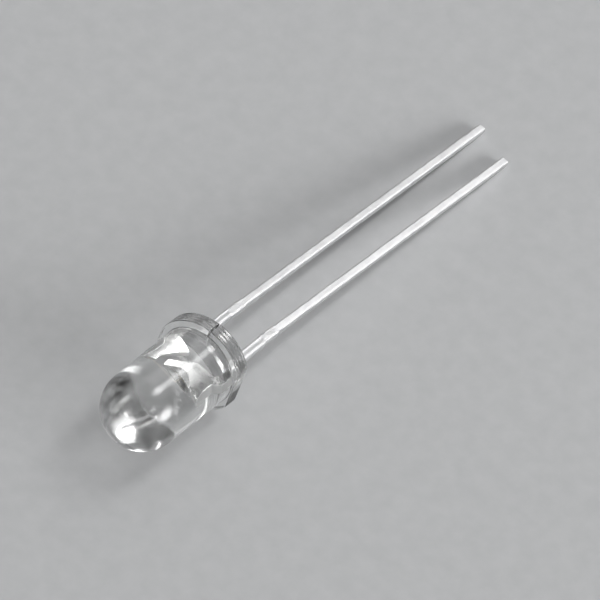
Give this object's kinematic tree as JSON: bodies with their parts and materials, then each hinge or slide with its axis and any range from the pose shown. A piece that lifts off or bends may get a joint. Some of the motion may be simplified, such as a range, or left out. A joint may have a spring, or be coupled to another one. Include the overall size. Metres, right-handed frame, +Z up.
{
  "type": "through hole led",
  "caption": "Clear round light emitting diode with a domed lens, a flanged foot with a flat, and long square leads of unequal length.",
  "frame": {"origin": "bottom centre of the box round the whole LED as it lies on a table, on the table's plane", "axes": "+X along the LED towards the dome, whose axis rises 5.52 degrees from X; +Z up; the cathode lead and the flange's flat are on the +Y side"},
  "size_m": [0.0366, 0.0056, 0.006],
  "materials": {
    "clear_epoxy": "gloss",
    "plated_frame": "satin",
    "silver_glue": "matte",
    "chip": "gloss",
    "gold_wire": "polished"
  },
  "bodies": {
    "root": {"lens": "clear_epoxy", "cathode_lead": "plated_frame", "anode_lead": "plated_frame", "chip_glue": "silver_glue", "chip": "chip", "bond_wire": "gold_wire"}
  },
  "joints": []
}
